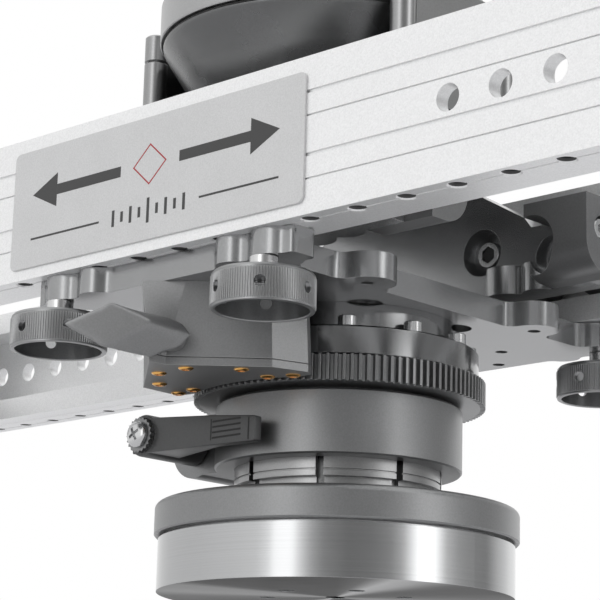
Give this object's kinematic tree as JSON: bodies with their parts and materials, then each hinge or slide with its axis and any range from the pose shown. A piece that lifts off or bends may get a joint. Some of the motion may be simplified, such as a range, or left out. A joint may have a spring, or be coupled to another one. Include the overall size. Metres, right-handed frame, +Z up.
{
  "type": "camera slider",
  "caption": "Twin-rail camera slider with a rolling bowl carriage, on a cross plate with clamping knobs, a swivel turntable with lever brake, and a quick-release round base.",
  "frame": {"origin": "centre of the tie-down bore in the flat underside of the base, on the swivel axis", "axes": "+X along the rails, +Y across the rails with the nameplate on -Y, +Z up through the bowl"},
  "size_m": [0.916, 0.318, 0.303],
  "materials": {
    "polished_silver": "turned and polished",
    "satin_grey": "fine sand-blasted, grey anodised",
    "silver_satin": "satin silver",
    "machined_steel": "machined",
    "dark_handle": "satin dark grey",
    "black_steel": "black-oxide steel",
    "dark_anodised": "dark grey anodised",
    "plate_grey": "satin mid-grey anodised",
    "silver_anodised": "bright satin silver anodised",
    "badge_grey": "matt light grey print",
    "knob_grey": "dark grey anodised, knurled",
    "stud_silver": "turned",
    "blasted_grey": "sand-blasted, grey anodised",
    "brass_screws": "bright",
    "light_grey": "satin",
    "black_rubber": "matt",
    "wheel_polymer": "satin black"
  },
  "bodies": {
    "base": {"base_drum": "polished_silver", "base_screws": "machined_steel", "base_flange": "satin_grey", "collet_ring": "silver_satin", "clamp_collar": "satin_grey", "pedestal": "dark_anodised", "gear_ring": "black_steel", "bearing_inner_races": "machined_steel", "bearing_balls": "machined_steel", "spindle_nut": "machined_steel"},
    "clamp_lever": {"clamp_bolt": "machined_steel", "clamp_handle": "dark_handle", "serrated_washer": "black_steel", "handle_screw": "machined_steel"},
    "slider_frame": {"bearing_outer_races": "machined_steel", "turntable_housing": "dark_anodised", "turntable_screws": "machined_steel", "cross_plate": "plate_grey", "near_rail": "silver_anodised", "far_rail": "silver_anodised", "nameplate": "badge_grey", "left_end_plate": "plate_grey", "right_end_plate": "plate_grey", "end_screws": "machined_steel", "end_bumpers": "black_rubber", "brake_housing": "blasted_grey", "brake_cover": "blasted_grey", "brake_screws": "brass_screws"},
    "brake_handle": {"brake_lever": "blasted_grey", "brake_camshaft": "machined_steel"},
    "brake_pad": {"brake_shoe": "blasted_grey"},
    "near_left_clamp": {"near_left_knob": "knob_grey", "near_left_stud": "stud_silver"},
    "near_right_clamp": {"near_right_knob": "knob_grey", "near_right_stud": "stud_silver"},
    "far_left_clamp": {"far_left_knob": "knob_grey", "far_left_stud": "stud_silver"},
    "far_right_clamp": {"far_right_knob": "knob_grey", "far_right_stud": "stud_silver"},
    "carriage": {"near_side_plate": "plate_grey", "far_side_plate": "plate_grey", "carriage_deck": "dark_anodised", "corner_brackets": "dark_anodised", "carriage_screws": "machined_steel", "riser_panels": "silver_satin", "riser_posts": "silver_satin", "post_caps": "silver_satin", "bowl": "dark_anodised", "bowl_seal": "black_rubber", "bowl_rim": "light_grey", "axle_bolts": "machined_steel", "axle_spacers": "machined_steel"},
    "near_left_wheel_body": {"near_left_wheel": "wheel_polymer"},
    "near_right_wheel_body": {"near_right_wheel": "wheel_polymer"},
    "near_left_roller_body": {"near_left_roller": "wheel_polymer"},
    "near_right_roller_body": {"near_right_roller": "wheel_polymer"},
    "far_left_wheel_body": {"far_left_wheel": "wheel_polymer"},
    "far_right_wheel_body": {"far_right_wheel": "wheel_polymer"},
    "far_left_roller_body": {"far_left_roller": "wheel_polymer"},
    "far_right_roller_body": {"far_right_roller": "wheel_polymer"}
  },
  "joints": [
    {"name": "turntable_swivel", "type": "hinge", "parent": "base", "child": "slider_frame", "pos_m": [0, 0, 0.12], "axis": [0, 0, 1], "continuous": true},
    {"name": "clamp_lever_turn", "type": "hinge", "parent": "base", "child": "clamp_lever", "pos_m": [-0.0639, -0.07, 0.0757], "axis": [0, -1, 0], "range_deg": [-14, 9]},
    {"name": "brake_lever_turn", "type": "hinge", "parent": "slider_frame", "child": "brake_handle", "pos_m": [0.0061, -0.1191, 0.1057], "axis": [0.6947, -0.7193, 0], "range_deg": [0, 60]},
    {"name": "brake_shoe_slide", "type": "slide", "parent": "slider_frame", "child": "brake_pad", "axis": [0.7193, 0.6947, 0], "range_m": [0, 0.00081]},
    {"name": "near_left_knob_turn", "type": "hinge", "parent": "slider_frame", "child": "near_left_clamp", "pos_m": [-0.06865, -0.1245, 0.118], "axis": [0, 0, 1], "continuous": true},
    {"name": "near_right_knob_turn", "type": "hinge", "parent": "slider_frame", "child": "near_right_clamp", "pos_m": [0.06865, -0.1245, 0.118], "axis": [0, 0, 1], "continuous": true},
    {"name": "far_left_knob_turn", "type": "hinge", "parent": "slider_frame", "child": "far_left_clamp", "pos_m": [-0.06865, 0.1245, 0.118], "axis": [0, 0, 1], "continuous": true},
    {"name": "far_right_knob_turn", "type": "hinge", "parent": "slider_frame", "child": "far_right_clamp", "pos_m": [0.06865, 0.1245, 0.118], "axis": [0, 0, 1], "continuous": true},
    {"name": "carriage_slide", "type": "slide", "parent": "slider_frame", "child": "carriage", "axis": [1, 0, 0], "range_m": [-0.2905, 0.3235]},
    {"name": "near_left_wheel_spin", "type": "hinge", "parent": "carriage", "child": "near_left_wheel_body", "pos_m": [-0.0665, -0.1125, 0.1818], "axis": [0, 1, 0], "continuous": true},
    {"name": "near_right_wheel_spin", "type": "hinge", "parent": "carriage", "child": "near_right_wheel_body", "pos_m": [0.0335, -0.1125, 0.1818], "axis": [0, 1, 0], "continuous": true},
    {"name": "near_left_roller_spin", "type": "hinge", "parent": "carriage", "child": "near_left_roller_body", "pos_m": [-0.1122, -0.1125, 0.1733], "axis": [0, 1, 0], "continuous": true},
    {"name": "near_right_roller_spin", "type": "hinge", "parent": "carriage", "child": "near_right_roller_body", "pos_m": [0.0792, -0.1125, 0.1733], "axis": [0, 1, 0], "continuous": true},
    {"name": "far_left_wheel_spin", "type": "hinge", "parent": "carriage", "child": "far_left_wheel_body", "pos_m": [-0.0665, 0.1125, 0.1818], "axis": [0, 1, 0], "continuous": true},
    {"name": "far_right_wheel_spin", "type": "hinge", "parent": "carriage", "child": "far_right_wheel_body", "pos_m": [0.0335, 0.1125, 0.1818], "axis": [0, 1, 0], "continuous": true},
    {"name": "far_left_roller_spin", "type": "hinge", "parent": "carriage", "child": "far_left_roller_body", "pos_m": [-0.1122, 0.1125, 0.1733], "axis": [0, 1, 0], "continuous": true},
    {"name": "far_right_roller_spin", "type": "hinge", "parent": "carriage", "child": "far_right_roller_body", "pos_m": [0.0792, 0.1125, 0.1733], "axis": [0, 1, 0], "continuous": true}
  ],
  "couplings": [
    {"joint": "brake_shoe_slide", "follows": "brake_lever_turn", "m_per_rad": 0.000764},
    {"joint": "near_left_wheel_spin", "follows": "carriage_slide", "rad_per_m": 45.147},
    {"joint": "near_right_wheel_spin", "follows": "carriage_slide", "rad_per_m": 45.147},
    {"joint": "near_left_roller_spin", "follows": "carriage_slide", "rad_per_m": 73.26},
    {"joint": "near_right_roller_spin", "follows": "carriage_slide", "rad_per_m": 73.26},
    {"joint": "far_left_wheel_spin", "follows": "carriage_slide", "rad_per_m": 45.147},
    {"joint": "far_right_wheel_spin", "follows": "carriage_slide", "rad_per_m": 45.147},
    {"joint": "far_left_roller_spin", "follows": "carriage_slide", "rad_per_m": 73.26},
    {"joint": "far_right_roller_spin", "follows": "carriage_slide", "rad_per_m": 73.26}
  ]
}
